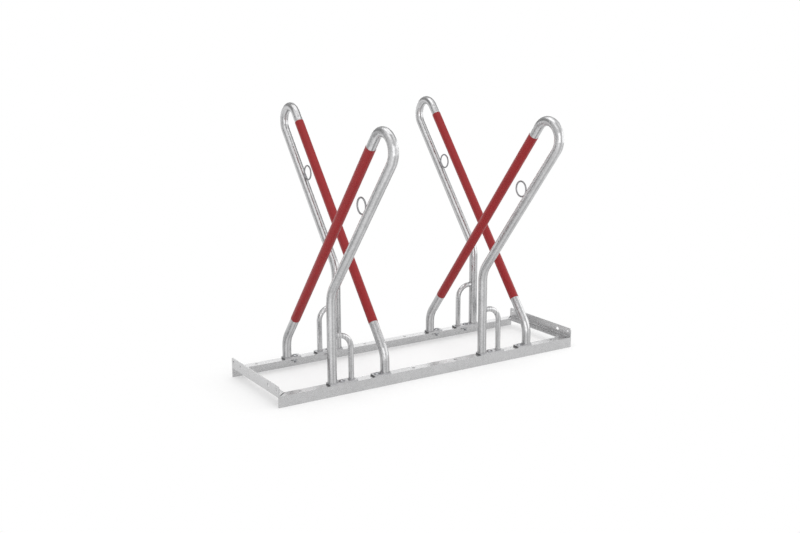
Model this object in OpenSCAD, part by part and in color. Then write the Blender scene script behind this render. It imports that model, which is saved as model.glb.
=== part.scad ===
// Double-sided bike rack, in millimetres
// The origin is on the ground, in the middle of the frame.
// X runs along the two long rails, -Y is the front and +Z is up.
// Each side has two bent hoops that lean out over its own long rail.
// The rack looks the same after half a turn about Z, so one side repeats the other.

/* [Frame] */
// Length of the two long rails and of the whole frame
rail_length = 1300; // [1240:10:1600]
// Depth of the frame over its outer faces
frame_depth = 390; // [350:5:460]
// Height of a long rail's upright flange
rail_height = 40; // [36:1:48]
// Width of a long rail's top flange
rail_width = 35; // [32:1:42]
// Height of a cross rail's upright flange
cross_height = 40; // [36:1:60]
// Width of a cross rail's lying flange
cross_width = 40; // [32:1:50]
// Thickness of the steel angles
angle_thickness = 4; // [3:0.5:6]
// Radius inside the corner of the steel angles
root_radius = 3; // [2:0.25:3.25]
// Radius on the free edges of the steel angles
toe_radius = 1.5; // [0.5:0.25:2.5]
// Radius on the upper corners of the cross rails
cross_corner = 7; // [3:0.5:12]
// Width of the seam where the rails meet in a mitre
mitre_seam = 0.6; // [0.2:0.1:0.9]

/* [Frame holes] */
// Diameter of the ground anchor holes in the long rails
anchor_hole = 11; // [9:0.5:14]
// Distance of the outer anchor holes from a long rail's end
anchor_end = 90; // [70:1:120]
// Distance of the inner anchor holes from the middle of a long rail
anchor_middle = 93; // [60:1:120]
// Diameter of the outer joining holes in the cross rails
link_hole_outer = 9; // [7:0.5:11]
// Width of the inner joining slots in the cross rails
link_slot_width = 13; // [9:0.5:14]
// Length of the inner joining slots, end to end
link_slot_length = 17; // [15:1:30]
// Distance of the outer joining holes from a cross rail's end
link_outer_end = 17; // [14:1:24]
// Distance of the inner joining slots' middles from a cross rail's end
link_inner_end = 80; // [60:1:110]
// Height of the outer joining holes above a cross rail's underside
link_outer_height = 27; // [24:0.5:30]
// Height of the inner joining slots' middles above a cross rail's underside
link_inner_height = 23; // [17:0.5:28]
// Diameter of the hole in the middle of a cross rail's lying flange
middle_hole = 12; // [8:0.5:14]

/* [Hoops] */
// Distance between the middles of the two pairs of hoops
pair_pitch = 650; // [600:5:700]
// Distance between the two hoops of a pair
pair_spread = 216; // [190:2:260]
// Outer diameter of the hoop tube
tube_diameter = 33.7; // [30:0.1:36]
// Wall of the hoop tube
tube_wall = 2.6; // [2:0.1:4]
// Height of a hoop above the ground
hoop_height = 969; // [900:1:1100]
// Distance between the axes of a hoop's two parallel legs
leg_spacing = 119; // [106:1:135]
// Angle of the parallel legs from upright
lean_angle = 39; // [36:0.5:42]
// Height at which the axes of the long leg and its foot cross
ankle_height = 116; // [105:1:140]
// Bend radius above the upright leg, on the tube's axis
knee_radius = 100; // [80:1:120]
// Bend radius above the long leg's foot, on the tube's axis
ankle_radius = 90; // [70:1:110]

/* [Sleeves] */
// Wall of a sleeve
sleeve_wall = 0.7; // [0.5:0.1:3]
// Gap between a sleeve's bore and the tube in it
sleeve_fit = 0.1; // [0:0.05:0.3]
// Length of bare leg between the top bend and a sleeve
sleeve_top_gap = 42; // [20:1:120]
// Distance of a sleeve from the crossing of leg and foot axes
sleeve_foot_gap = 125; // [70:1:200]

/* [Lock rings] */
// Outer diameter of a lock ring
ring_diameter = 60; // [50:1:68]
// Diameter of a lock ring's wire
ring_wire = 6; // [4:0.5:7]
// Distance of a lock ring up the leaning leg from its lower bend
ring_distance = 400; // [200:5:480]
// Depth of the flat by which a ring is welded to its leg
ring_seat = 0.8; // [0.4:0.1:1.5]

/* [Wheel guides] */
// Clear width of a wheel lane between its two guides
lane_width = 44; // [36:1:60]
// Outer diameter of the guide tube
guide_diameter = 20; // [16:0.5:25]
// Wall of the guide tube
guide_wall = 2; // [1.5:0.1:3]
// Height of a guide above the ground
guide_height = 224; // [190:1:250]
// Bend radius of a guide, on the tube's axis
guide_radius = 50; // [35:1:54]

/* [Foot plates] */
// Thickness of the foot plates
plate_thickness = 6; // [4:0.5:8]
// Distance of a foot plate's long edges from the edges of the rail
plate_setback = 0.5; // [0:0.25:2]
// Length of a foot plate past the axis of its hoop leg
plate_tube_end = 18; // [17:0.5:26]
// Length of a foot plate past the axis of its last bolt or guide
plate_free_end = 20; // [15:0.5:28]
// Radius on the corners of the foot plates
plate_corner = 6; // [2:0.5:10]
// Distance of the short plate's bolt from the axis of its hoop leg
foot_bolt_offset = 33; // [31:0.5:45]

/* [Foot bolts] */
// Diameter of the bolt's shank
bolt_diameter = 10; // [8:0.5:12]
// Diameter of the bolt's round head
head_diameter = 24.5; // [20:0.5:26]
// Height of the bolt's round head
head_height = 5.5; // [4:0.5:8]
// Height of the upright rim under the head's dome
head_rim = 1; // [0.5:0.1:2]
// How far the square neck under the head ends above the underside of its plate
neck_end_gap = 1; // [0.5:0.25:2]
// Clearance around the square neck, on each side
neck_fit = 0.3; // [0.1:0.05:0.5]
// Clearance around the shank in the rail, on each side
shank_fit = 0.5; // [0.2:0.1:1]
// Diameter of the washer
washer_diameter = 20; // [18:0.5:22]
// Thickness of the washer
washer_thickness = 2; // [1:0.25:3]
// Width of the nut across its flats
nut_width = 16; // [14:0.5:17]
// Height of the nut
nut_height = 8; // [6:0.5:10]
// Clearance of nut and washer around the shank, on each side
thread_fit = 0.1; // [0.05:0.05:0.3]
// Length of shank that stands out of the nut
bolt_end = 8; // [1:0.5:12]

/* [Hidden] */
$fn = 96;

// How far a cut runs past the face that it opens
past = 1;
// How far a bend is swept past its end, in degrees, before it is cut off square
spare_sweep = 10;

// Heights in the frame
flange_under = rail_height - angle_thickness;
plate_top = rail_height + plate_thickness;
// The middle line of a long rail's top flange, where every foot stands
foot_y = frame_depth / 2 - rail_width / 2;

// The lean that is drawn: of the angles within lean_play of lean_angle, the one whose sine
// and cosine fit together best at six decimals, so that bends and straight runs meet exactly
lean_play = 0.05;
lean_step = 0.0001;
leans = [for (shift = [-lean_play : lean_step : lean_play]) lean_angle + shift];
least_misfit = min([for (angle = leans) misfit(angle)]);
lean = [for (angle = leans) if (misfit(angle) == least_misfit) angle][0];

// A hoop's outline: the legs lean by this angle and lie leg_spacing apart
tube_radius = tube_diameter / 2;
top_radius = leg_spacing / 2;
top_centre_z = hoop_height - tube_radius - top_radius;
knee_height = ankle_height
    + (2 * foot_y * cos(lean) - leg_spacing) / sin(lean);
knee_tangent = knee_radius * tan(lean / 2);
ankle_tangent = ankle_radius * tan(lean / 2);
// From the lower bend's corner to the top bend, on the leaning leg
lean_reach = (top_centre_z - top_radius * sin(lean) - knee_height) / cos(lean);
// The same on the long leg, which crosses to the other rail
long_reach = (top_centre_z + top_radius * sin(lean) - ankle_height) / cos(lean);

// Places along the rails
guide_offset = (pair_spread - lane_width - guide_diameter) / 2;
guide_bolt_offset = guide_offset / 2;
front_hoops_x = [for (side = [-1, 1]) side * pair_pitch / 2 - pair_spread / 2];
rear_hoops_x = -front_hoops_x;
// Each bay's place along X, and its turn about Z
BAYS = [
    [front_hoops_x[0], 0],
    [front_hoops_x[1], 0],
    [rear_hoops_x[1], 180],
    [rear_hoops_x[0], 180]
];
// Where the feet are bolted to the front rail
rail_bolts_x = concat(
    [for (x = front_hoops_x) x + guide_bolt_offset],
    [for (x = rear_hoops_x) x - foot_bolt_offset]
);
anchors_x = [for (side = [-1, 1], x = [rail_length / 2 - anchor_end, anchor_middle]) side * x];

// Colours
ZINC = [0.72, 0.73, 0.74];
DARK_ZINC = [0.55, 0.56, 0.57];
RED = [0.6, 0.16, 0.18];

// How far an angle's sine and cosine, at six decimals, are from the unit circle
function misfit(angle) = abs(1 - norm([at_six_decimals(sin(angle)), at_six_decimals(cos(angle))]));

function at_six_decimals(value) = round(value * 1000000) / 1000000;

// The outline of a steel angle: heel at the origin, one flange along X and one along Y
module angle_outline(lying, upright) {
    difference() {
        union() {
            square([lying, angle_thickness]);
            square([angle_thickness, upright]);
            translate([angle_thickness, angle_thickness])
                root_fillet();
        }
        translate([lying - toe_radius, angle_thickness - toe_radius])
            corner_cut(toe_radius);
        translate([angle_thickness - toe_radius, upright - toe_radius])
            corner_cut(toe_radius);
    }
}

// The fillet in the corner of an angle
module root_fillet() {
    difference() {
        square(root_radius);
        translate([root_radius, root_radius])
            circle(root_radius);
    }
}

// What is cut away to round a corner: its centre is at the origin, the corner towards +X +Y
module corner_cut(radius) {
    difference() {
        square(radius + past);
        circle(radius);
    }
}

// A plan view of one side of the mitre between the left cross rail and the front rail
// side is 1 for the cross rail's side of that line, and -1 for the long rail's side
module mitre_plan(side) {
    corner = [-rail_length / 2, -frame_depth / 2];
    along = [cross_width, rail_width] / norm([cross_width, rail_width]);
    away = side * [-along[1], along[0]];
    start = corner - along * past - away * mitre_seam / 2;
    end = corner + along * (norm([cross_width, rail_width]) + past) - away * mitre_seam / 2;
    reach = cross_width + rail_width;
    polygon([start, end, end + away * reach, start + away * reach]);
}

// A long rail: the top flange points inwards and its ends are mitred
module front_rail_solid() {
    difference() {
        translate([-rail_length / 2, -frame_depth / 2, rail_height])
            rotate([90, 0, 90])
            linear_extrude(rail_length)
            mirror([0, 1])
            angle_outline(rail_width, rail_height);
        for (side = [0, 1])
            mirror([side, 0, 0])
            translate([0, 0, flange_under])
            linear_extrude(angle_thickness + past)
            mitre_plan(1);
        for (x = rail_bolts_x)
            flange_hole(x, bolt_diameter + 2 * shank_fit);
        for (x = anchors_x)
            flange_hole(x, anchor_hole);
    }
}

// A hole down through the front rail's top flange
module flange_hole(x, diameter) {
    translate([x, -foot_y, flange_under - past])
        cylinder(d = diameter, h = angle_thickness + 2 * past);
}

// A cross rail: it stands on the ends of the long rails, with its upright flange outside
module left_cross_solid() {
    half = frame_depth / 2;
    top = flange_under + cross_height;
    difference() {
        translate([-rail_length / 2, half, flange_under])
            rotate([90, 0, 0])
            linear_extrude(frame_depth)
            angle_outline(cross_width, cross_height);
        for (side = [0, 1])
            mirror([0, side, 0])
            translate([0, 0, flange_under - past])
            linear_extrude(angle_thickness + past)
            mitre_plan(-1);
        for (side = [0, 1])
            mirror([0, side, 0])
            translate([-rail_length / 2 - past, half - cross_corner, top - cross_corner])
            rotate([90, 0, 90])
            linear_extrude(cross_width)
            corner_cut(cross_corner);
        for (side = [-1, 1]) {
            link_bore(side * (half - link_outer_end), link_outer_height, link_hole_outer);
            link_slot(side * (half - link_inner_end));
        }
        translate([(cross_width - rail_length) / 2, 0, flange_under - past])
            cylinder(d = middle_hole, h = angle_thickness + 2 * past);
    }
}

// A hole through the left cross rail's upright flange
module link_bore(y, height, diameter) {
    translate([-rail_length / 2 - past, y, flange_under + height])
        rotate([0, 90, 0])
        cylinder(d = diameter, h = angle_thickness + 2 * past);
}

// A slot with round ends through the left cross rail's upright flange, along the rail
module link_slot(y) {
    reach = (link_slot_length - link_slot_width) / 2;
    for (side = [-1, 1])
        link_bore(y + side * reach, link_inner_height, link_slot_width);
    translate([-rail_length / 2 - past, y - reach, flange_under + link_inner_height - link_slot_width / 2])
        cube([angle_thickness + 2 * past, 2 * reach, link_slot_width]);
}

// A tube's ring-shaped section
module tube_section(diameter, wall) {
    difference() {
        circle(d = diameter);
        circle(d = diameter - 2 * wall);
    }
}

// A straight run of tube up the Z axis; what follows starts at its end
module run(length, diameter, wall) {
    linear_extrude(length)
        tube_section(diameter, wall);
    translate([0, 0, length])
        children();
}

// A bend towards +Y, or towards -Y where side is -1; what follows starts at its end
// The sweep runs a little too far and is cut off square where the next piece starts
module bend(radius, angle, diameter, wall, side = 1) {
    turn = side > 0 ? 0 : 180;
    rotate([0, 0, turn]) {
        difference() {
            translate([0, radius, 0])
                rotate([0, -90, 0])
                rotate([0, 0, -90])
                rotate_extrude(angle = angle + spare_sweep)
                translate([radius, 0])
                tube_section(diameter, wall);
            at_bend_end(radius, angle)
                translate([-diameter, -diameter, 0])
                cube(2 * diameter);
        }
        at_bend_end(radius, angle)
            rotate([0, 0, -turn])
            children();
    }
}

// Moves its child to the end of a bend towards +Y
module at_bend_end(radius, angle) {
    translate([0, radius, 0])
        rotate([-angle, 0, 0])
        translate([0, -radius, 0])
        children();
}

// A hoop, bent from one tube: upright leg, leaning leg, top bend, long leg and its foot
module hoop() {
    d = tube_diameter;
    w = tube_wall;
    color(ZINC)
        translate([0, -foot_y, plate_top])
        run(knee_height - plate_top - knee_tangent, d, w)
        bend(knee_radius, lean, d, w, side = -1)
        run(lean_reach - knee_tangent, d, w)
        bend(top_radius, 180, d, w)
        run(long_reach - ankle_tangent, d, w)
        bend(ankle_radius, lean, d, w)
        run(ankle_height - plate_top - ankle_tangent, d, w);
}

// What is drawn up the Z axis is laid along the leaning leg, from its lower bend's corner
module on_leaning_leg() {
    translate([0, -foot_y, knee_height])
        rotate([lean, 0, 0])
        children();
}

// The same along the long leg
module on_long_leg() {
    translate([0, foot_y, ankle_height])
        rotate([lean, 0, 0])
        children();
}

// A plastic sleeve around the long leg
module sleeve() {
    color(RED)
        on_long_leg()
        translate([0, 0, sleeve_foot_gap])
        linear_extrude(long_reach - sleeve_top_gap - sleeve_foot_gap)
        tube_section(tube_diameter + 2 * (sleeve_fit + sleeve_wall), sleeve_wall);
}

// A wire ring for a lock, welded to the leaning leg between the two legs
module lock_ring() {
    color(DARK_ZINC)
        on_leaning_leg()
        difference() {
            translate([0, tube_radius + ring_diameter / 2 - ring_seat, ring_distance])
                rotate([0, 90, 0])
                rotate_extrude()
                translate([(ring_diameter - ring_wire) / 2, 0])
                circle(d = ring_wire);
            translate([0, 0, ring_distance - ring_diameter])
                cylinder(r = tube_radius, h = 2 * ring_diameter);
        }
}

// A small bent tube beside the upright leg, which keeps a wheel in its lane
module wheel_guide() {
    d = guide_diameter;
    w = guide_wall;
    color(ZINC)
        difference() {
            translate([guide_offset, -foot_y, plate_top])
                rotate([0, 0, 90])
                run(guide_height - plate_top - guide_radius - d / 2, d, w)
                bend(guide_radius, 90, d, w)
                run(guide_offset - guide_radius, d, w);
            translate([0, -foot_y, plate_top])
                cylinder(r = tube_radius, h = guide_height);
        }
}

// A flat bar on the rail, from x = low to x = high, with a square hole for a bolt's neck
module foot_plate(low, high, bolt_x) {
    width = rail_width - 2 * plate_setback;
    hole = bolt_diameter + 2 * neck_fit;
    color(ZINC)
        translate([0, 0, rail_height])
        linear_extrude(plate_thickness)
        difference() {
            rounded_bar(low, high, width, plate_corner);
            translate([bolt_x, 0])
                square(hole, center = true);
        }
}

// A flat bar's outline with round corners
module rounded_bar(low, high, width, radius) {
    translate([low + radius, -width / 2])
        square([high - low - 2 * radius, width]);
    translate([low, radius - width / 2])
        square([high - low, width - 2 * radius]);
    for (x = [low + radius, high - radius], side = [-1, 1])
        translate([x, side * (width / 2 - radius)])
        circle(radius);
}

// The plate that carries the upright leg and the guide
module long_plate() {
    translate([0, -foot_y, 0])
        foot_plate(-plate_tube_end, guide_offset + plate_free_end, guide_bolt_offset);
}

// The plate that carries the long leg's foot
module short_plate() {
    translate([0, foot_y, 0])
        foot_plate(-plate_tube_end, foot_bolt_offset + plate_free_end, foot_bolt_offset);
}

// Puts its child at both bolts of a bay
module at_foot_bolts() {
    translate([guide_bolt_offset, -foot_y, 0])
        children();
    translate([foot_bolt_offset, foot_y, 0])
        children();
}

// A round-headed bolt with a square neck, down through plate and flange
module foot_bolt() {
    dome = head_height - head_rim;
    dome_radius = (dome * dome + head_diameter * head_diameter / 4) / (2 * dome);
    shank = plate_thickness + angle_thickness + washer_thickness + nut_height + bolt_end;
    translate([0, 0, plate_top]) {
        intersection() {
            cylinder(d = head_diameter, h = head_height);
            translate([0, 0, head_height - dome_radius])
                sphere(dome_radius);
        }
        translate([0, 0, neck_end_gap / 2 - plate_thickness / 2])
            cube([bolt_diameter, bolt_diameter, plate_thickness - neck_end_gap], center = true);
        translate([0, 0, -shank])
            cylinder(d = bolt_diameter, h = shank);
    }
}

// The washer under the flange
module foot_washer() {
    translate([0, 0, flange_under - washer_thickness])
        linear_extrude(washer_thickness)
        difference() {
            circle(d = washer_diameter);
            circle(d = bolt_diameter + 2 * thread_fit);
        }
}

// The nut under the washer
module foot_nut() {
    translate([0, 0, flange_under - washer_thickness - nut_height])
        linear_extrude(nut_height)
        difference() {
            circle(d = nut_width / cos(30), $fn = 6);
            circle(d = bolt_diameter + 2 * thread_fit);
        }
}

// Puts a bay's piece in its place
module in_bay(number) {
    translate([BAYS[number][0], 0, 0])
        rotate([0, 0, BAYS[number][1]])
        children();
}

// Puts a fastener in its place in all the bays
module in_all_bays() {
    for (number = [0 : len(BAYS) - 1])
        in_bay(number)
        at_foot_bolts()
        children();
}

module front_rail() {
    color(ZINC) front_rail_solid();
}

module rear_rail() {
    color(ZINC) rotate([0, 0, 180]) front_rail_solid();
}

module left_cross_rail() {
    color(ZINC) left_cross_solid();
}

module right_cross_rail() {
    color(ZINC) rotate([0, 0, 180]) left_cross_solid();
}

module foot_bolts() {
    color(DARK_ZINC) in_all_bays() foot_bolt();
}

module foot_washers() {
    color(DARK_ZINC) in_all_bays() foot_washer();
}

module foot_nuts() {
    color(DARK_ZINC) in_all_bays() foot_nut();
}

front_rail();
rear_rail();
left_cross_rail();
right_cross_rail();
in_bay(0) hoop();  // hoop_front_left
in_bay(1) hoop();  // hoop_front_right
in_bay(2) hoop();  // hoop_rear_left
in_bay(3) hoop();  // hoop_rear_right
in_bay(0) sleeve();  // sleeve_front_left
in_bay(1) sleeve();  // sleeve_front_right
in_bay(2) sleeve();  // sleeve_rear_left
in_bay(3) sleeve();  // sleeve_rear_right
in_bay(0) lock_ring();  // lock_ring_front_left
in_bay(1) lock_ring();  // lock_ring_front_right
in_bay(2) lock_ring();  // lock_ring_rear_left
in_bay(3) lock_ring();  // lock_ring_rear_right
in_bay(0) wheel_guide();  // wheel_guide_front_left
in_bay(1) wheel_guide();  // wheel_guide_front_right
in_bay(2) wheel_guide();  // wheel_guide_rear_left
in_bay(3) wheel_guide();  // wheel_guide_rear_right
in_bay(0) long_plate();  // long_plate_front_left
in_bay(1) long_plate();  // long_plate_front_right
in_bay(2) long_plate();  // long_plate_rear_left
in_bay(3) long_plate();  // long_plate_rear_right
in_bay(2) short_plate();  // short_plate_front_left
in_bay(3) short_plate();  // short_plate_front_right
in_bay(0) short_plate();  // short_plate_rear_left
in_bay(1) short_plate();  // short_plate_rear_right
foot_bolts();
foot_washers();
foot_nuts();
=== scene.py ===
import math

import bpy
from mathutils import Matrix, Vector, noise


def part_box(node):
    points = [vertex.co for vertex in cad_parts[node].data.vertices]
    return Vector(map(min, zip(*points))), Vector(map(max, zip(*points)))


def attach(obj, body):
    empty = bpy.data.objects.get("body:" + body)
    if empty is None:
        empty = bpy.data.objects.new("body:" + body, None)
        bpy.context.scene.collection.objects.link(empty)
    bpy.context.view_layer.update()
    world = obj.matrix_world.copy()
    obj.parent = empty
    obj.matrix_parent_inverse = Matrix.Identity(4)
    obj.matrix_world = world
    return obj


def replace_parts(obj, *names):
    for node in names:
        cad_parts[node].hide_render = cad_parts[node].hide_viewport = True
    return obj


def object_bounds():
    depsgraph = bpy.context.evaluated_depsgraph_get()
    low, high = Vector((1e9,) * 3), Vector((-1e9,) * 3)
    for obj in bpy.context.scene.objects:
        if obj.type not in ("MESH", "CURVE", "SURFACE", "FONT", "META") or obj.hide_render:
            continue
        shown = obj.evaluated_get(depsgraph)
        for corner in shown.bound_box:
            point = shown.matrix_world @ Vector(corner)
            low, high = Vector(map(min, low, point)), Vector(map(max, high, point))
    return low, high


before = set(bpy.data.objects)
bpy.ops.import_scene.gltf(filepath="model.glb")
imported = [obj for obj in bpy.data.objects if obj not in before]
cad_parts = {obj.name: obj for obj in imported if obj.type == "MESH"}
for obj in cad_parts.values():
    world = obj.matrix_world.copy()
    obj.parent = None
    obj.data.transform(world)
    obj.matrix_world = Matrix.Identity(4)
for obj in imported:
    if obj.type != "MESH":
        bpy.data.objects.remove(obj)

# The looks of a double-sided bike rack: zinc-coated steel, red plastic sleeves, welds and fasteners.
# Lengths are in metres and angles in degrees. Z is up, and the front of the rack faces -Y.

CAD_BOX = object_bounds()
BODY = "root"

# Each bay's turn about Z: its hoop, sleeve, ring, guide and long plate share its name
BAYS = {"front_left": 0, "front_right": 0, "rear_left": 180, "rear_right": 180}

# The hoop's bends, which the boxes of the CAD nodes don't give
LEAN = math.radians(39.05)
LEG_SPACING = 0.119
ANKLE_HEIGHT = 0.116
RING_DISTANCE = 0.400

# Sides of round forms
ROUND_SIDES = 64
NUT_SIDES = 96
SLEEVE_SIDES = 96

# Bolts: the shank, the rim of the head, and the square neck with the power that rounds its corners
BOLT_RADIUS = 0.005
HEAD_RIM = 0.001
HEAD_EDGE = 0.0002
NECK_DEPTH = 0.005
NECK_RUN_IN = 0.0003
NECK_POWER = 14
DOME_STEPS = 16
DOME_END = 89

# Threads: they end just below the top of the washer, and fade out over one turn
THREAD_PITCH = 0.0015
THREAD_DEPTH = 0.0009
THREAD_FIT = 0.0001
THREAD_STOP = 0.001
THREAD_STEPS = 8
CHAMFER = 0.0012

# Nuts: the countersink, the share of the width at which the chamfer meets a face, and its slope
COUNTERSINK = 0.0008
NUT_FACE = 0.965
NUT_SLOPE = 1.9
NUT_STEPS = 6
WASHER_EDGE = 0.0005

# Sleeves: wall and lip, and the depth of the plastic's waves, with their scales round and along it
SLEEVE_WALL = 0.0007
SLEEVE_LIP = 0.0003
WAVE_DEPTH = 0.00012
WAVE_ROUND = 1.2
WAVE_ALONG = 26

# Welds: the radius of a bead, and the length of one ripple
HOOP_BEAD = 0.0022
GUIDE_BEAD = 0.0018
RING_BEAD = 0.0019
MITRE_BEAD = 0.0024
RIPPLE = 0.0032

# A bead's uneven form, in shares of its radius: ripples, lumps, and how far its top lags behind
RIPPLE_SWELL = 0.10
LUMP_SWELL = 0.12
LUMP_SCALE = 90
SAG = 0.35
TAPER_POWER = 6
TAPER_END = 0.05

# Where a bead's middle lies, in shares of its radius, and how far its crown leans to the side
FOOT_REACH = 0.25
GUIDE_END_REACH = 0.2
BEAD_RISE = 0.1
CROWN_LEAN = 0.8

# The weld of a lock ring: half its length, and its place on the wire in shares of the wire
RING_WELD_HALF = 0.0085
RING_WELD_SIDE = 0.42

# The weld of a mitre: where it starts and ends between the corners, and how deep it lies in its radius
MITRE_START = 0.04
MITRE_END = 0.99
MITRE_SINK = 0.72


def low(node):
    """A node's lowest corner."""
    return Vector(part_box(node)[0])


def high(node):
    """A node's highest corner."""
    return Vector(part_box(node)[1])


def middle(node):
    """The middle of a node's box."""
    return (low(node) + high(node)) / 2


def size(node):
    """The lengths of the sides of a node's box."""
    return high(node) - low(node)


# Sizes read from the CAD nodes
TUBE_RADIUS = size("hoop_front_left").x / 2
GUIDE_RADIUS = size("wheel_guide_front_left").y / 2
SLEEVE_RADIUS = size("sleeve_front_left").x / 2
RING_WIRE = size("lock_ring_front_left").x
PLATE_TOP = high("long_plate_front_left").z
FOOT_Y = -middle("long_plate_front_left").y
KNEE_HEIGHT = ANKLE_HEIGHT + (2 * FOOT_Y * math.cos(LEAN) - LEG_SPACING) / math.sin(LEAN)
HEAD_RADIUS = size("foot_bolts").y / 2 - FOOT_Y
HEAD_TOP = high("foot_bolts").z
BOLT_END = low("foot_bolts").z
WASHER_RADIUS = size("foot_washers").y / 2 - FOOT_Y
WASHER_TOP = high("foot_washers").z
NUT_RADIUS = size("foot_nuts").y / 2 - FOOT_Y
NUT_TOP = high("foot_nuts").z
NUT_END = low("foot_nuts").z


def bay_matrix(bay):
    """The place and turn of a bay in the frame."""
    place = Matrix.Translation((middle("hoop_" + bay).x, 0, 0))
    return place @ Matrix.Rotation(math.radians(BAYS[bay]), 4, "Z")


def upright_matrix(bay):
    """The foot of the upright leg, on its plate."""
    return bay_matrix(bay) @ Matrix.Translation((0, -FOOT_Y, PLATE_TOP))


def long_foot_matrix(bay):
    """The foot of the long leg, on its plate."""
    return bay_matrix(bay) @ Matrix.Translation((0, FOOT_Y, PLATE_TOP))


def leaning_matrix(bay):
    """Z runs up the leaning leg's axis, from the corner above the upright leg."""
    corner = Matrix.Translation((0, -FOOT_Y, KNEE_HEIGHT))
    return bay_matrix(bay) @ corner @ Matrix.Rotation(LEAN, 4, "X")


def long_leg_matrix(bay):
    """Z runs up the long leg's axis, from the corner above its foot."""
    corner = Matrix.Translation((0, FOOT_Y, ANKLE_HEIGHT))
    return bay_matrix(bay) @ corner @ Matrix.Rotation(LEAN, 4, "X")


def guide_reach(bay):
    """How far a guide's foot stands from its hoop, along the rail."""
    guide = "wheel_guide_" + bay
    here = middle("hoop_" + bay).x
    return max(high(guide).x - here, here - low(guide).x) - GUIDE_RADIUS


# Materials

# Scales of the zinc's patterns, the stretch of its runs along Z, and how much each one changes the tone
PATCH_SCALE = 9.0
MOTTLE_SCALE = 150.0
RUN_SCALE = 90.0
RUN_STRETCH = 0.25
RUN_SWING = 0.06
CRYSTAL_SCALE = 190.0
CRYSTAL_SWING = 0.04
ROUGH_SWING = 0.12
GRAIN_STRENGTH = 0.25
METAL = 0.85

# Painted reflection lines along the drawn tubes: their pitch across X, the turn at which they start and how
# far it drifts, and the scale and stretch of the thin painted reflection streaks among them
REFLECTION_LINE_PITCH = 0.010825
REFLECTION_LINE_START = 0.77
DRIFT = 0.7
DRIFT_SCALE = 7.0
THIN_SCALE = 330.0
THIN_STRETCH = 0.05

# Red plastic: its tone, and its clouds, rubbed spots and grain
RED_TONE = (0.27, 0.013, 0.015)
CLOUD_SCALE = 14.0
CLOUD_SWING = 0.12
RUB_SCALE = 160.0
RUB_SWING = 0.14
RED_GRAIN_SCALE = 900.0
RED_GRAIN_STRENGTH = 0.2
RED_GRAIN_DEPTH = 0.0002
RED_SMOOTHEST = 0.28
RED_ROUGH_RANGE = 0.24
RED_SHINE = 0.3


class Tree:
    """Adds nodes to a node tree. An input is a value or another node's output."""

    def __init__(self, tree):
        self.tree = tree
        tree.nodes.clear()

    def put(self, socket, value):
        if isinstance(value, bpy.types.NodeSocket):
            self.tree.links.new(value, socket)
        else:
            socket.default_value = value

    def add(self, kind, named=None, numbered=None, **settings):
        """A node with its settings, and its inputs by name or by number."""
        node = self.tree.nodes.new(kind)
        for key, value in settings.items():
            setattr(node, key, value)
        for key, value in (named or {}).items():
            self.put(node.inputs[key], value)
        for key, value in (numbered or {}).items():
            self.put(node.inputs[key], value)
        return node

    def math(self, operation, a, b=0.0, c=0.0, clamp=False):
        numbered = {0: a, 1: b} if operation != "MULTIPLY_ADD" else {0: a, 1: b, 2: c}
        return self.add("ShaderNodeMath", numbered=numbered, operation=operation, use_clamp=clamp).outputs[0]

    def noise(self, place, scale, detail=3.0, roughness=0.5):
        named = {"Vector": place, "Scale": scale, "Detail": detail, "Roughness": roughness}
        return self.add("ShaderNodeTexNoise", named).outputs["Fac"]

    def around_one(self, factor, swing):
        """A factor of 0 to 1 turned into a multiplier of 1 - swing to 1 + swing."""
        return self.math("MULTIPLY_ADD", factor, 2 * swing, 1 - swing)

    def tinted(self, level, tone):
        """A colour times a level that varies over the surface."""
        grey = self.add("ShaderNodeCombineXYZ", {"X": level, "Y": level, "Z": level}).outputs[0]
        return self.add("ShaderNodeMix", numbered={0: 1.0, 6: grey, 7: (*tone, 1)}, data_type="RGBA",
                        blend_type="MULTIPLY").outputs[2]


def new_material(name):
    """A material, its tree and the place on the piece in the frame."""
    material = bpy.data.materials.new(name)
    material.use_nodes = True
    tree = Tree(material.node_tree)
    return material, tree, tree.add("ShaderNodeTexCoord").outputs["Object"]


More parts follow.
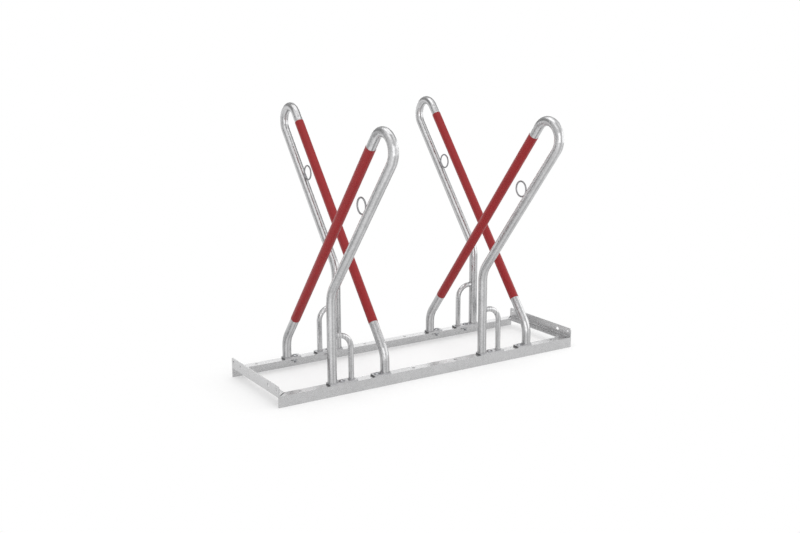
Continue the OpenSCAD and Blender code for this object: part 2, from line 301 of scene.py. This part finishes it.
def zinc(name, tone, roughness, waves, patch=0.10, mottle=0.10, painted_end_shade=1.0, painted_reflection_lines=0.0, grain=0.0003):
    """Hot-dip zinc: cloudy patches, mottling, faint crystals, runs, and waves in the coat.

    Waves and grain are depths: of the long bumps that follow the runs, and of the fine ones.
    The painted end shade darkens faces that look along X, the ends where flat bar was sheared: painted shade
    in the colour.
    Painted reflection lines run along every leg, at one place in X, with thin painted reflection streaks
    among them."""
    material, tree, place = new_material(name)
    patches = tree.noise(place, PATCH_SCALE, detail=4.0, roughness=0.6)
    mottles = tree.noise(place, MOTTLE_SCALE, detail=5.0, roughness=0.62)
    stretch = tree.add("ShaderNodeMapping", {"Vector": place, "Scale": (1.0, 1.0, RUN_STRETCH)}).outputs[0]
    runs = tree.noise(stretch, RUN_SCALE)
    cells = tree.add("ShaderNodeTexVoronoi", {"Vector": place, "Scale": CRYSTAL_SCALE}).outputs["Color"]
    crystal = tree.add("ShaderNodeSeparateColor", {"Color": cells}).outputs[0]

    level = tree.math("MULTIPLY", tree.around_one(patches, patch), tree.around_one(mottles, mottle))
    level = tree.math("MULTIPLY", level, tree.around_one(crystal, CRYSTAL_SWING))
    level = tree.math("MULTIPLY", level, tree.around_one(runs, RUN_SWING))
    # Painted shade: faces that look along X are darkened in the colour
    if painted_end_shade != 1.0:
        normal = tree.add("ShaderNodeNewGeometry").outputs["Normal"]
        facing = tree.add("ShaderNodeSeparateXYZ", {"Vector": normal}).outputs["X"]
        facing = tree.math("POWER", tree.math("ABSOLUTE", facing), 2.0)
        level = tree.math("MULTIPLY", level, tree.math("MULTIPLY_ADD", facing, painted_end_shade - 1.0, 1.0))

    # Painted reflection: lighter and darker lines and thin streaks in the colour, along every tube leg
    if painted_reflection_lines:
        across = tree.add("ShaderNodeSeparateXYZ", {"Vector": place}).outputs["X"]
        drift = tree.math("MULTIPLY_ADD", tree.noise(place, DRIFT_SCALE, detail=2.0), DRIFT, REFLECTION_LINE_START)
        turn = tree.math("MULTIPLY_ADD", across, 2 * math.pi / REFLECTION_LINE_PITCH, drift)
        level = tree.math("MULTIPLY", level, tree.math("MULTIPLY_ADD", tree.math("SINE", turn), painted_reflection_lines, 1.0))
        thin = tree.add("ShaderNodeMapping", {
            "Vector": place,
            "Scale": (1.0, THIN_STRETCH, THIN_STRETCH),
        }).outputs[0]
        reflection_streaks = tree.noise(thin, THIN_SCALE, roughness=0.6)
        level = tree.math("MULTIPLY", level, tree.around_one(reflection_streaks, painted_reflection_lines))

    rough = tree.math("MULTIPLY_ADD", mottles, 2 * ROUGH_SWING, roughness - ROUGH_SWING)
    clouds = tree.math("MULTIPLY_ADD", patches, 2 * ROUGH_SWING, -ROUGH_SWING)
    rough = tree.math("ADD", rough, clouds, clamp=True)
    fine = tree.add("ShaderNodeBump", {
        "Height": mottles,
        "Strength": GRAIN_STRENGTH,
        "Distance": grain,
    }).outputs[0]
    wavy = tree.add("ShaderNodeBump", {"Height": runs, "Strength": 1.0, "Distance": waves, "Normal": fine})
    shader = tree.add("ShaderNodeBsdfPrincipled", {
        "Base Color": tree.tinted(level, tone),
        "Metallic": METAL,
        "Roughness": rough,
        "Normal": wavy.outputs[0],
    })
    tree.add("ShaderNodeOutputMaterial", {"Surface": shader.outputs[0]})
    return material


def red_plastic(name):
    """Satin red plastic, cloudy and rubbed in places."""
    material, tree, place = new_material(name)
    clouds = tree.noise(place, CLOUD_SCALE, detail=4.0, roughness=0.55)
    rubs = tree.noise(place, RUB_SCALE, detail=4.0, roughness=0.65)
    grain = tree.noise(place, RED_GRAIN_SCALE, roughness=0.6)
    level = tree.math("MULTIPLY", tree.around_one(clouds, CLOUD_SWING), tree.around_one(rubs, RUB_SWING))
    normal = tree.add("ShaderNodeBump", {
        "Height": grain,
        "Strength": RED_GRAIN_STRENGTH,
        "Distance": RED_GRAIN_DEPTH,
    }).outputs[0]
    shader = tree.add("ShaderNodeBsdfPrincipled", {
        "Base Color": tree.tinted(level, RED_TONE),
        "Roughness": tree.math("MULTIPLY_ADD", rubs, RED_ROUGH_RANGE, RED_SMOOTHEST),
        "Specular IOR Level": RED_SHINE,
        "Normal": normal,
    })
    tree.add("ShaderNodeOutputMaterial", {"Surface": shader.outputs[0]})
    return material


RAIL = zinc("zinc_rail_finish", (0.555, 0.555, 0.56), roughness=0.28, waves=0.0001, mottle=0.06,
            grain=0.00008)
# The tube finish carries painted reflection lines along its legs
TUBE = zinc("zinc_tube_finish", (0.50, 0.50, 0.505), roughness=0.16, waves=0.0012, patch=0.16, mottle=0.34,
            painted_reflection_lines=0.16)
WIRE = zinc("zinc_wire_finish", (0.29, 0.29, 0.30), roughness=0.30, waves=0.0002)
# The plates' end faces get painted shade: a quarter as bright as the rest
PLATE = zinc("zinc_plate_finish", (0.52, 0.52, 0.53), roughness=0.36, waves=0.0003, painted_end_shade=0.25)
FASTENER = zinc("zinc_fastener_finish", (0.40, 0.405, 0.42), roughness=0.22, waves=0.0001, patch=0.05)
WELD = zinc("zinc_weld_finish", (0.40, 0.40, 0.41), roughness=0.42, waves=0.0003, mottle=0.2)
# Near black: painted shade for the shadowed gaps of the frame's mitres, laid on their weld beads
MITRE_SHADE = zinc("painted_mitre_shade", (0.05, 0.05, 0.052), roughness=0.45, waves=0.0003, mottle=0.2)
RED = red_plastic("red_sleeve_finish")


def finish_node(node, material):
    """Gives a CAD node its material."""
    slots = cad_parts[node].data.materials
    slots.clear()
    slots.append(material)


def finish_nodes():
    """The CAD nodes that stay in sight get their materials."""
    for node in ("front_rail", "rear_rail", "left_cross_rail", "right_cross_rail"):
        finish_node(node, RAIL)
    for bay in BAYS:
        finish_node("hoop_" + bay, TUBE)
        finish_node("wheel_guide_" + bay, TUBE)
        finish_node("lock_ring_" + bay, WIRE)
        finish_node("long_plate_" + bay, PLATE)
        finish_node("short_plate_" + bay, PLATE)


# Meshes

def surface(rings, place=Matrix(), closed=False):
    """A closed surface through rings with the same number of points.

    Where closed, the last ring joins the first; otherwise both ends are capped."""
    count = len(rings[0])
    points = [place @ Vector(point) for ring in rings for point in ring]
    faces = []
    for i in range(len(rings) if closed else len(rings) - 1):
        here = i * count
        there = (i + 1) % len(rings) * count
        for k in range(count):
            after = (k + 1) % count
            faces.append((here + k, here + after, there + after, there + k))
    if not closed:
        last = (len(rings) - 1) * count
        faces.append(tuple(reversed(range(count))))
        faces.append(tuple(range(last, last + count)))
    return points, faces


def make(name, parts, material, slot, sharp=40):
    """One object of several closed surfaces, riding on the rack."""
    points = []
    faces = []
    for part_points, part_faces in parts:
        start = len(points)
        points += part_points
        faces += [tuple(start + i for i in face) for face in part_faces]
    mesh = bpy.data.meshes.new(name)
    mesh.from_pydata(points, [], faces)
    mesh.materials.append(material)
    mesh.shade_smooth()
    mesh.set_sharp_from_angle(angle=math.radians(sharp))
    piece = bpy.data.objects.new(name, mesh)
    bpy.context.scene.collection.objects.link(piece)
    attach(piece, BODY)
    return piece


def turns(count):
    """Angles spread evenly round a circle."""
    return [2 * math.pi * k / count for k in range(count)]


def circle(radius, z, count=ROUND_SIDES):
    """A round ring about the Z axis."""
    return [(radius * math.cos(a), radius * math.sin(a), z) for a in turns(count)]


def arc(centre_r, centre_z, radius, start, end, steps):
    """Points (radius, height) of an arc in a turned profile."""
    points = []
    for k in range(steps + 1):
        angle = math.radians(start + (end - start) * k / steps)
        points.append((centre_r + radius * math.cos(angle), centre_z + radius * math.sin(angle)))
    return points


# Welds

def bead(path, crown, radius, closed, seed):
    """A rippled weld bead along a path, with its crown in a direction that may turn along it."""
    steps = 5
    sides = 12
    ahead = 0.001
    samples = [path(i / 100) for i in range(101)]
    length = sum((b - a).length for a, b in zip(samples, samples[1:]))
    count = max(4, round(length / RIPPLE)) * steps
    rings = []
    for i in range(count if closed else count + 1):
        share = i / count
        centre = path(share)
        along = (path(share + ahead) - path(share - ahead)).normalized()
        up = crown(share)
        up = (up - along * up.dot(along)).normalized()
        across = along.cross(up)
        ripple = RIPPLE_SWELL * (1 - 2 * (i % steps) / steps)
        lumps = LUMP_SWELL * noise.noise(centre * LUMP_SCALE + Vector((seed, 0, 0)))
        taper = 1.0 if closed else math.sqrt(max(TAPER_END, 1 - (2 * share - 1) ** TAPER_POWER))
        swell = radius * (1 + ripple + lumps) * taper
        ring = []
        for angle in turns(sides):
            sag = along * (-SAG * radius * math.cos(angle))
            ring.append(centre + (up * math.cos(angle) + across * math.sin(angle)) * swell + sag)
        rings.append(ring)
    return surface(rings, closed=closed)


def foot_bead(place, tube_radius, radius, seed):
    """The weld round the foot of a tube on its plate."""
    def path(share):
        angle = 2 * math.pi * share
        reach = tube_radius + FOOT_REACH * radius
        return place @ Vector((reach * math.cos(angle), reach * math.sin(angle), BEAD_RISE * radius))

    def crown(share):
        angle = 2 * math.pi * share
        return place.to_3x3() @ Vector((math.cos(angle), math.sin(angle), 1))

    return bead(path, crown, radius, True, seed)


def guide_bead(bay, seed):
    """The weld round the end of a wheel guide, on the side of the upright leg."""
    height = high("wheel_guide_" + bay).z - GUIDE_RADIUS
    place = bay_matrix(bay) @ Matrix.Translation((0, -FOOT_Y, height))
    ring = GUIDE_RADIUS + GUIDE_END_REACH * GUIDE_BEAD

    def path(share):
        angle = 2 * math.pi * share
        y = ring * math.cos(angle)
        x = math.sqrt((TUBE_RADIUS + BEAD_RISE * GUIDE_BEAD) ** 2 - y * y)
        return place @ Vector((x, y, ring * math.sin(angle)))

    def crown(share):
        angle = 2 * math.pi * share
        return place.to_3x3() @ Vector((CROWN_LEAN, math.cos(angle), math.sin(angle)))

    return bead(path, crown, GUIDE_BEAD, True, seed)


def ring_bead(bay, side, seed):
    """A short weld along one side of a lock ring's seat on the leaning leg."""
    place = leaning_matrix(bay)

    def path(share):
        along = RING_DISTANCE + RING_WELD_HALF * (2 * share - 1)
        return place @ Vector((side * RING_WIRE * RING_WELD_SIDE, TUBE_RADIUS, along))

    def crown(share):
        return place.to_3x3() @ Vector((side * CROWN_LEAN, 1, 0))

    return bead(path, crown, RING_BEAD, False, seed)


def mitre_bead(side_x, side_y, seed):
    """The flat weld in a mitre of the frame, from its outer to its inner corner."""
    top = high("front_rail").z
    outer = Vector((high("right_cross_rail").x, high("rear_rail").y, top))
    inner = Vector((low("right_cross_rail").x, low("rear_rail").y, top))
    start = outer.lerp(inner, MITRE_START)
    end = outer.lerp(inner, MITRE_END)
    sink = Vector((0, 0, -MITRE_SINK * MITRE_BEAD))

    def path(share):
        point = start.lerp(end, share) + sink
        return Vector((side_x * point.x, side_y * point.y, point.z))

    def crown(share):
        return Vector((0, 0, 1))

    return bead(path, crown, MITRE_BEAD, False, seed)


def add_welds():
    """Every weld of the rack: feet, guides, lock rings and frame corners."""
    for seed, bay in enumerate(BAYS):
        guide_foot = upright_matrix(bay) @ Matrix.Translation((guide_reach(bay), 0, 0))
        upright_weld = foot_bead(upright_matrix(bay), TUBE_RADIUS, HOOP_BEAD, seed)
        long_leg_weld = foot_bead(long_foot_matrix(bay), TUBE_RADIUS, HOOP_BEAD, seed + 4)
        guide_foot_weld = foot_bead(guide_foot, GUIDE_RADIUS, GUIDE_BEAD, seed + 8)
        ring_welds = [ring_bead(bay, side, seed + side) for side in (-1, 1)]
        for name, parts, slot in (
            ("weld_upright_leg_", [upright_weld], "zinc_tube"),
            ("weld_long_leg_", [long_leg_weld], "zinc_tube"),
            ("weld_guide_foot_", [guide_foot_weld], "zinc_tube"),
            ("weld_guide_end_", [guide_bead(bay, seed + 12)], "zinc_tube"),
            ("weld_lock_ring_", ring_welds, "zinc_wire"),
        ):
            make(name + bay, parts, WELD, slot)
    corners = [mitre_bead(x, y, 20 + 2 * x + y) for x in (-1, 1) for y in (-1, 1)]
    # The corner beads carry the painted shade of the mitres' gaps
    make("frame_corner_welds_painted_shade", corners, MITRE_SHADE, "zinc_rail")


# Sleeves

def add_sleeve(bay):
    """A plastic sleeve with round lips and the slight waviness of a tight tube."""
    across = SLEEVE_RADIUS * math.sin(LEAN)
    start = (low("sleeve_" + bay).z + across - ANKLE_HEIGHT) / math.cos(LEAN)
    end = (high("sleeve_" + bay).z - across - ANKLE_HEIGHT) / math.cos(LEAN)
    bore = SLEEVE_RADIUS - SLEEVE_WALL
    lip = SLEEVE_RADIUS - SLEEVE_LIP
    outer_steps = 120
    inner_steps = 12
    lip_steps = 6
    profile = arc(lip, start + SLEEVE_LIP, SLEEVE_LIP, -90, 0, lip_steps)
    for k in range(1, outer_steps):
        z = start + SLEEVE_LIP + (end - start - 2 * SLEEVE_LIP) * k / outer_steps
        profile.append((SLEEVE_RADIUS, z))
    profile += arc(lip, end - SLEEVE_LIP, SLEEVE_LIP, 0, 90, lip_steps)
    for k in range(inner_steps + 1):
        profile.append((bore, end + (start - end) * k / inner_steps))
    rings = []
    for radius, z in profile:
        ring = []
        for angle in turns(SLEEVE_SIDES):
            way = Vector((math.cos(angle), math.sin(angle), 0))
            spot = Vector((way.x * WAVE_ROUND, way.y * WAVE_ROUND, z * WAVE_ALONG))
            wave = 0.5 + 0.5 * noise.noise(spot)
            dip = WAVE_DEPTH * wave if radius > lip else 0.0
            ring.append(way * (radius - dip) + Vector((0, 0, z)))
        rings.append(ring)
    parts = [surface(rings, long_leg_matrix(bay), closed=True)]
    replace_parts(make("sleeve_cover_" + bay, parts, RED, "red_sleeve", 50), "sleeve_" + bay)


# Fasteners

def bolt_places():
    """Both bolts of every bay, where its plates are drilled."""
    hoop = middle("hoop_rear_right").x
    offset = hoop - (high("foot_bolts").x - HEAD_RADIUS)
    places = []
    for bay in BAYS:
        places.append(bay_matrix(bay) @ Matrix.Translation((guide_reach(bay) / 2, -FOOT_Y, 0)))
        places.append(bay_matrix(bay) @ Matrix.Translation((offset, FOOT_Y, 0)))
    return places


def neck_ring(z):
    """A ring in the form of a square with round corners."""
    ring = []
    for angle in turns(ROUND_SIDES):
        c = math.cos(angle)
        s = math.sin(angle)
        radius = BOLT_RADIUS / (abs(c) ** NECK_POWER + abs(s) ** NECK_POWER) ** (1 / NECK_POWER)
        ring.append((radius * c, radius * s, z))
    return ring


def thread_ring(z, depth):
    """A ring of the threaded shank: its radius follows the helix and the end's chamfer."""
    limit = BOLT_RADIUS - max(0.0, CHAMFER - (z - BOLT_END))
    ring = []
    for angle in turns(ROUND_SIDES):
        turn = (z / THREAD_PITCH - angle / (2 * math.pi)) % 1
        radius = min(BOLT_RADIUS - depth * abs(2 * turn - 1), limit)
        ring.append((radius * math.cos(angle), radius * math.sin(angle), z))
    return ring


def bolt(place):
    """A round-headed bolt with a square neck and a threaded end, from its end up."""
    rings = []
    start = WASHER_TOP - THREAD_STOP
    steps = round((start - BOLT_END) / THREAD_PITCH * THREAD_STEPS)
    for i in range(steps + 1):
        z = BOLT_END + (start - BOLT_END) * i / steps
        rings.append(thread_ring(z, THREAD_DEPTH * min(1, (steps - i) / THREAD_STEPS)))
    rings.append(circle(BOLT_RADIUS, PLATE_TOP - NECK_DEPTH - NECK_RUN_IN))
    rings.append(neck_ring(PLATE_TOP - NECK_DEPTH))
    rings.append(neck_ring(PLATE_TOP))
    rings.append(circle(HEAD_RADIUS - HEAD_EDGE, PLATE_TOP))
    rings.append(circle(HEAD_RADIUS, PLATE_TOP + HEAD_EDGE))
    dome = HEAD_TOP - PLATE_TOP - HEAD_RIM
    ball = (dome * dome + HEAD_RADIUS * HEAD_RADIUS) / (2 * dome)
    edge = math.degrees(math.acos(HEAD_RADIUS / ball))
    for radius, z in arc(0, HEAD_TOP - ball, ball, edge, DOME_END, DOME_STEPS):
        rings.append(circle(radius, z))
    return surface(rings, place)


def nut(place):
    """A hexagon nut with chamfered corners and a countersunk bore."""
    bore = BOLT_RADIUS + THREAD_FIT

    def hexagon(z):
        rise = min(z - NUT_END, NUT_TOP - z)
        ring = []
        for angle in turns(NUT_SIDES):
            flat = angle + math.pi / 6
            sixth = flat % (math.pi / 3) - math.pi / 6
            radius = min(NUT_RADIUS / math.cos(sixth), NUT_FACE * NUT_RADIUS + NUT_SLOPE * rise)
            ring.append((radius * math.cos(angle), radius * math.sin(angle), z))
        return ring

    mouth = bore + COUNTERSINK
    rings = [circle(bore, NUT_END + COUNTERSINK, NUT_SIDES), circle(mouth, NUT_END, NUT_SIDES)]
    rings += [hexagon(NUT_END + CHAMFER * k / NUT_STEPS) for k in range(NUT_STEPS + 1)]
    rings += [hexagon(NUT_TOP - CHAMFER * k / NUT_STEPS) for k in range(NUT_STEPS, -1, -1)]
    rings += [circle(mouth, NUT_TOP, NUT_SIDES), circle(bore, NUT_TOP - COUNTERSINK, NUT_SIDES)]
    return surface(rings, place, closed=True)


def washer(place):
    """A flat washer with a rolled outer edge."""
    bore = BOLT_RADIUS + THREAD_FIT
    edge = WASHER_EDGE
    edge_steps = 4
    rim = WASHER_RADIUS - edge
    profile = [(bore, NUT_TOP)] + arc(rim, NUT_TOP + edge, edge, -90, 0, edge_steps)
    profile += arc(rim, WASHER_TOP - edge, edge, 0, 90, edge_steps) + [(bore, WASHER_TOP)]
    return surface([circle(radius, z) for radius, z in profile], place, closed=True)


def add_fasteners():
    """The bolts, washers and nuts of all the feet."""
    for name, shape, node in (
        ("carriage_bolts", bolt, "foot_bolts"),
        ("flat_washers", washer, "foot_washers"),
        ("hexagon_nuts", nut, "foot_nuts"),
    ):
        parts = [shape(place) for place in bolt_places()]
        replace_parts(make(name, parts, FASTENER, "zinc_fastener", 35), node)


# The stage

# The photograph's camera: its place, its turns in radians and its lens
CAMERA_PLACE = (-2.1276, -3.3067, 1.2759)
CAMERA_YAW = 0.5633
CAMERA_PITCH = 0.225
CAMERA_ROLL = 0.0026
CAMERA_LENS = 47.952
CAMERA_SENSOR = 36

# The floor: half its size and its paint, how far past the frame its shadow starts and ends to fade out,
# and the share of it that is plain white inside that
FLOOR_REACH = 20.0
FLOOR_PAINT = 0.93
FADE_START = 0.03
FADE_END = 0.22
FLOOR_WHITE = 0.40

# The floor as the metal mirrors it: its share of white, how bright that white is by the frame, and how
# far past the frame it is full white
MIRRORED_WHITE = 0.70
MIRRORED_LEVEL = 0.86
MIRRORED_END = 1.0

# How much brighter the mirrored floor is on the left, and the place in X where that is reached
LEFT_GLOW = 0.22
GLOW_END = -0.78

# The light that the white background sheds, as a share of what is seen of it
SOFT_LIGHT = 0.90

# Lamps and cards round the rack: two azimuths, two elevations, distance and brightness.
# Azimuth 0 is to the right of the rack and 90 is behind it.
STUDIO_MIDDLE = Vector((0, 0, 0.6))
SOFT_BOXES = {
    "front_box": (-132, -92, -8, 28, 3.2, 1.0),
    "right_box": (-52, 12, -6, 28, 3.2, 1.0),
    "left_sky_box": (-180, -118, 44, 60, 3.2, 0.45),
    "ceiling_box": (70, 110, 62, 102, 3.4, 1.1),
    "rear_strip": (40, 95, 0.5, 13.5, 2.6, 0.78),
}
CARDS = {
    "left_card": (146, 182, -30, 24, 1.25, 0.68),
    "rear_low_card": (108, 142, -15, 0, 2.6, 1.3),
    "rear_card": (10, 150, 13, 48, 3.0, 0.42),
    "front_sky_card": (-116, -74, 50, 75, 3.4, 0.82),
    "right_sky_card": (-72, -24, 46, 66, 3.4, 1.2),
    "right_grey_card": (-24, 14, 25, 52, 3.4, 0.88),
}
CARD_COLUMNS = 24
CARD_ROWS = 8

# Lamps above this elevation are square
OVERHEAD = 80


def seen(tree):
    """1 for what the camera, metal or glass sees, and 0 for light that falls on surfaces."""
    path = tree.add("ShaderNodeLightPath")
    share = tree.math("ADD", path.outputs["Is Camera Ray"], path.outputs["Is Glossy Ray"])
    return tree.math("ADD", share, path.outputs["Is Transmission Ray"], clamp=True)


def add_floor():
    """A pale floor that keeps the rack's soft shadow and turns into the white background round it."""
    reach = FLOOR_REACH
    corners = [(-reach, -reach, 0), (reach, -reach, 0), (reach, reach, 0), (-reach, reach, 0)]
    mesh = bpy.data.meshes.new("floor")
    mesh.from_pydata(corners, [], [(0, 1, 2, 3)])
    floor = bpy.data.objects.new("floor", mesh)
    bpy.context.scene.collection.objects.link(floor)
    material, tree, place = new_material("pale_floor")
    half = (CAD_BOX[1][0], high("rear_rail").y, 0)
    past = tree.add("ShaderNodeVectorMath", numbered={0: place}, operation="ABSOLUTE").outputs[0]
    past = tree.add("ShaderNodeVectorMath", numbered={0: past, 1: half}, operation="SUBTRACT").outputs[0]
    past = tree.add("ShaderNodeVectorMath", numbered={0: past, 1: (0, 0, 0)}, operation="MAXIMUM").outputs[0]
    past = tree.add("ShaderNodeVectorMath", numbered={0: past}, operation="LENGTH").outputs["Value"]
    fade = tree.add("ShaderNodeMapRange", {
        "Value": past,
        "From Min": FADE_START,
        "From Max": FADE_END,
    }, interpolation_type="SMOOTHSTEP").outputs[0]
    camera = tree.add("ShaderNodeLightPath").outputs["Is Camera Ray"]
    matt_share = tree.math("MULTIPLY_ADD", camera, MIRRORED_WHITE - FLOOR_WHITE, 1 - MIRRORED_WHITE)
    matt_share = tree.math("MULTIPLY", matt_share, tree.math("SUBTRACT", 1.0, fade))
    share = tree.math("MULTIPLY", seen(tree), tree.math("SUBTRACT", 1.0, matt_share))
    level = tree.add("ShaderNodeMapRange", {
        "Value": past,
        "From Min": FADE_START,
        "From Max": MIRRORED_END,
        "To Min": MIRRORED_LEVEL,
        "To Max": 1.0,
    }).outputs[0]
    across = tree.add("ShaderNodeSeparateXYZ", {"Vector": place}).outputs["X"]
    glow = tree.add("ShaderNodeMapRange", {
        "Value": across,
        "From Min": CAD_BOX[0][0],
        "From Max": GLOW_END,
        "To Min": 0.0,
        "To Max": LEFT_GLOW,
    }).outputs[0]
    gap = tree.math("SUBTRACT", tree.math("ADD", level, glow), 1.0)
    level = tree.math("MULTIPLY_ADD", gap, tree.math("SUBTRACT", 1.0, camera), 1.0)
    matt = tree.add("ShaderNodeBsdfDiffuse", {"Color": (FLOOR_PAINT, FLOOR_PAINT, FLOOR_PAINT, 1)}).outputs[0]
    white = tree.add("ShaderNodeEmission", {"Color": (1, 1, 1, 1), "Strength": level}).outputs[0]
    both = tree.add("ShaderNodeMixShader", numbered={0: share, 1: matt, 2: white}).outputs[0]
    tree.add("ShaderNodeOutputMaterial", {"Surface": both})
    mesh.materials.append(material)


def add_world():
    """White for what the camera and the metal see, and a little less for the light that it sheds."""
    world = bpy.data.worlds.new("studio")
    bpy.context.scene.world = world
    world.use_nodes = True
    tree = Tree(world.node_tree)
    white = tree.add("ShaderNodeBackground", {"Color": (1, 1, 1, 1), "Strength": 1.0}).outputs[0]
    soft = tree.add("ShaderNodeBackground", {"Color": (1, 1, 1, 1), "Strength": SOFT_LIGHT}).outputs[0]
    both = tree.add("ShaderNodeMixShader", numbered={0: seen(tree), 1: soft, 2: white}).outputs[0]
    tree.add("ShaderNodeOutputWorld", {"Surface": both})


def studio_place(azimuth, elevation, distance):
    """A place round the rack."""
    a = math.radians(azimuth)
    e = math.radians(elevation)
    way = Vector((math.cos(a) * math.cos(e), math.sin(a) * math.cos(e), math.sin(e)))
    return STUDIO_MIDDLE + way * distance


def add_soft_boxes():
    """Soft rectangular lamps, each as large as its angles need at its distance."""
    for name, (left, right, bottom, top, distance, level) in SOFT_BOXES.items():
        azimuth = (left + right) / 2
        elevation = (bottom + top) / 2
        tall = 2 * distance * math.tan(math.radians(top - bottom) / 2)
        wide = 2 * distance * math.tan(math.radians(right - left) / 2) * math.cos(math.radians(elevation))
        if elevation > OVERHEAD:
            wide = tall
        data = bpy.data.lights.new(name, "AREA")
        data.shape = "RECTANGLE"
        data.size = wide
        data.size_y = tall
        data.energy = level * math.pi * wide * tall
        lamp = bpy.data.objects.new(name, data)
        lamp.location = studio_place(azimuth, elevation, distance)
        lamp.rotation_euler = (STUDIO_MIDDLE - lamp.location).to_track_quat("-Z", "Y").to_euler()
        lamp.visible_camera = False
        bpy.context.scene.collection.objects.link(lamp)


def add_cards():
    """Curved cards that only the metal sees, darker or brighter than the white behind them."""
    for name, (left, right, bottom, top, distance, level) in CARDS.items():
        columns = CARD_COLUMNS
        rows = CARD_ROWS
        points = [
            studio_place(left + (right - left) * i / columns, bottom + (top - bottom) * k / rows, distance)
            for k in range(rows + 1) for i in range(columns + 1)
        ]
        faces = []
        for k in range(rows):
            for i in range(columns):
                here = k * (columns + 1) + i
                above = here + columns + 1
                faces.append((here, here + 1, above + 1, above))
        mesh = bpy.data.meshes.new(name)
        mesh.from_pydata(points, [], faces)
        material, tree, _ = new_material(name + "_cloth")
        grey = tree.add("ShaderNodeEmission", {"Color": (level, level, level, 1), "Strength": 1.0})
        tree.add("ShaderNodeOutputMaterial", {"Surface": grey.outputs[0]})
        mesh.materials.append(material)
        card = bpy.data.objects.new(name, mesh)
        card.visible_camera = False
        card.visible_diffuse = False
        card.visible_shadow = False
        bpy.context.scene.collection.objects.link(card)


def add_camera():
    """The photograph's view."""
    data = bpy.data.cameras.new("camera")
    data.sensor_fit = "HORIZONTAL"
    data.sensor_width = CAMERA_SENSOR
    data.lens = CAMERA_LENS
    camera = bpy.data.objects.new("camera", data)
    yaw = Matrix.Rotation(-CAMERA_YAW, 3, "Z")
    pitch = Matrix.Rotation(math.pi / 2 - CAMERA_PITCH, 3, "X")
    roll = Matrix.Rotation(-CAMERA_ROLL, 3, "Z")
    camera.location = CAMERA_PLACE
    camera.rotation_euler = (yaw @ pitch @ roll).to_euler()
    bpy.context.scene.collection.objects.link(camera)
    bpy.context.scene.camera = camera


add_camera()
finish_nodes()
for bay_name in BAYS:
    add_sleeve(bay_name)
add_fasteners()
add_welds()
add_floor()
add_world()
add_soft_boxes()
add_cards()
bpy.context.scene.view_settings.view_transform = "Standard"
